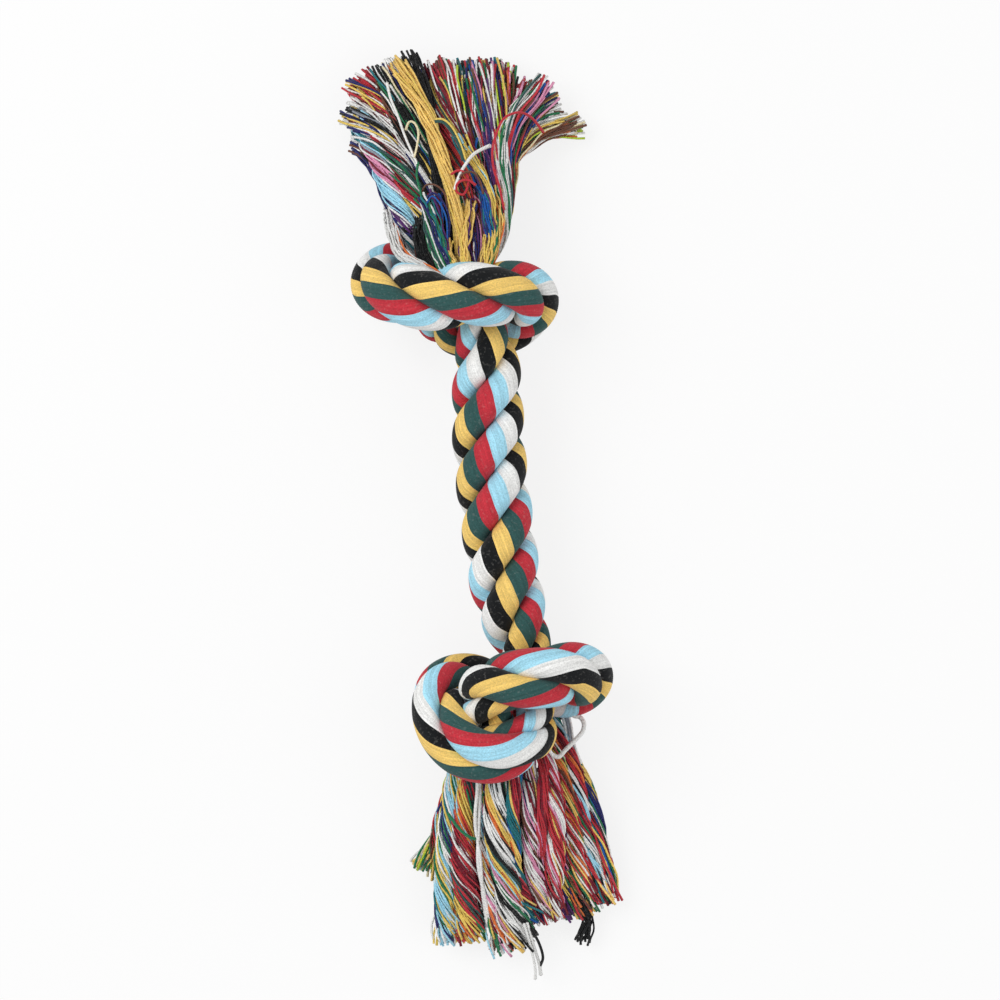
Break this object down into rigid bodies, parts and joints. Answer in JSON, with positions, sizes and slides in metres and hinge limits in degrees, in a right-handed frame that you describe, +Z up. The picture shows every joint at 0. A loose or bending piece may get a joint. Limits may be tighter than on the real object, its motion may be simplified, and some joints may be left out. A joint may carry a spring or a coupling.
{
  "type": "rope dog toy",
  "caption": "Knotted cotton rope dog toy: a laid, striped rope with a tight overhand knot near each end and its unlaid ends fanned out as multicolour yarn tassels.",
  "frame": {"origin": "below the middle of the toy's box, on the surface that the toy lies on", "axes": "+Y along the toy towards the tassel of the upper knot, +X to its side, +Z up from the surface"},
  "size_m": [0.0893, 0.302, 0.0514],
  "materials": {
    "striped_cotton_a": "matte soft cotton",
    "striped_cotton_b": "matte soft cotton",
    "striped_cotton_c": "matte soft cotton",
    "yarn_white": "matte cotton yarn",
    "yarn_red": "matte cotton yarn",
    "yarn_yellow": "matte cotton yarn",
    "yarn_green": "matte cotton yarn",
    "yarn_blue": "matte cotton yarn",
    "yarn_light_blue": "matte cotton yarn"
  },
  "bodies": {
    "shaft": {"shaft_strand_a": "striped_cotton_a", "shaft_strand_b": "striped_cotton_b", "shaft_strand_c": "striped_cotton_c"},
    "upper_bend": {"upper_bend_strand_a": "striped_cotton_a", "upper_bend_strand_b": "striped_cotton_b", "upper_bend_strand_c": "striped_cotton_c"},
    "upper_knot": {"upper_knot_strand_a": "striped_cotton_a", "upper_knot_strand_b": "striped_cotton_b", "upper_knot_strand_c": "striped_cotton_c"},
    "upper_neck": {"upper_neck_strand_a": "striped_cotton_a", "upper_neck_strand_b": "striped_cotton_b", "upper_neck_strand_c": "striped_cotton_c"},
    "upper_tassel": {"upper_lock_01": "yarn_white", "upper_lock_02": "yarn_red", "upper_lock_03": "yarn_yellow", "upper_lock_04": "yarn_green", "upper_lock_05": "yarn_blue", "upper_lock_06": "yarn_light_blue", "upper_lock_07": "yarn_white", "upper_lock_08": "yarn_red", "upper_lock_09": "yarn_yellow", "upper_lock_10": "yarn_green", "upper_lock_11": "yarn_blue", "upper_lock_12": "yarn_light_blue"},
    "lower_bend": {"lower_bend_strand_a": "striped_cotton_a", "lower_bend_strand_b": "striped_cotton_b", "lower_bend_strand_c": "striped_cotton_c"},
    "lower_knot": {"lower_knot_strand_a": "striped_cotton_a", "lower_knot_strand_b": "striped_cotton_b", "lower_knot_strand_c": "striped_cotton_c", "loose_yarn": "yarn_white"},
    "lower_neck": {"lower_neck_strand_a": "striped_cotton_a", "lower_neck_strand_b": "striped_cotton_b", "lower_neck_strand_c": "striped_cotton_c"},
    "lower_tassel": {"lower_lock_01": "yarn_white", "lower_lock_02": "yarn_red", "lower_lock_03": "yarn_yellow", "lower_lock_04": "yarn_green", "lower_lock_05": "yarn_blue", "lower_lock_06": "yarn_light_blue", "lower_lock_07": "yarn_white", "lower_lock_08": "yarn_red", "lower_lock_09": "yarn_yellow", "lower_lock_10": "yarn_green", "lower_lock_11": "yarn_blue", "lower_lock_12": "yarn_light_blue"}
  },
  "joints": [
    {"name": "upper_bend_side", "type": "hinge", "parent": "shaft", "child": "upper_bend", "pos_m": [-0.0014, 0.02275, 0.0237], "axis": [0, 0, 1], "range_deg": [-30, 30], "deforming": ["upper_bend_strand_a", "upper_bend_strand_b", "upper_bend_strand_c"]},
    {"name": "upper_bend_up", "type": "hinge", "parent": "upper_bend", "child": "upper_knot", "pos_m": [-0.0014, 0.02275, 0.0237], "axis": [1, 0, 0], "range_deg": [-30, 30], "deforming": ["upper_bend_strand_a", "upper_bend_strand_b", "upper_bend_strand_c"]},
    {"name": "upper_tassel_swing", "type": "hinge", "parent": "upper_knot", "child": "upper_neck", "pos_m": [-0.0105, 0.086, 0.025], "axis": [0, 0, 1], "range_deg": [-20, 20], "deforming": ["upper_neck_strand_a", "upper_neck_strand_b", "upper_neck_strand_c"]},
    {"name": "upper_tassel_lift", "type": "hinge", "parent": "upper_neck", "child": "upper_tassel", "pos_m": [-0.0105, 0.09, 0.0255], "axis": [1, 0, 0], "range_deg": [-15, 45], "deforming": ["upper_neck_strand_a", "upper_neck_strand_b", "upper_neck_strand_c"]},
    {"name": "lower_bend_side", "type": "hinge", "parent": "shaft", "child": "lower_bend", "pos_m": [-0.0027, -0.01925, 0.0226], "axis": [0, 0, 1], "range_deg": [-30, 30], "deforming": ["lower_bend_strand_a", "lower_bend_strand_b", "lower_bend_strand_c"]},
    {"name": "lower_bend_up", "type": "hinge", "parent": "lower_bend", "child": "lower_knot", "pos_m": [-0.0027, -0.01925, 0.0226], "axis": [-1, 0, 0], "range_deg": [-30, 30], "deforming": ["lower_bend_strand_a", "lower_bend_strand_b", "lower_bend_strand_c"]},
    {"name": "lower_tassel_swing", "type": "hinge", "parent": "lower_knot", "child": "lower_neck", "pos_m": [-0.012, -0.079, 0.0215], "axis": [0, 0, 1], "range_deg": [-20, 20], "deforming": ["lower_neck_strand_a", "lower_neck_strand_b", "lower_neck_strand_c"]},
    {"name": "lower_tassel_lift", "type": "hinge", "parent": "lower_neck", "child": "lower_tassel", "pos_m": [-0.012, -0.085, 0.0215], "axis": [-1, 0, 0], "range_deg": [-15, 45], "deforming": ["lower_neck_strand_a", "lower_neck_strand_b", "lower_neck_strand_c"]}
  ]
}
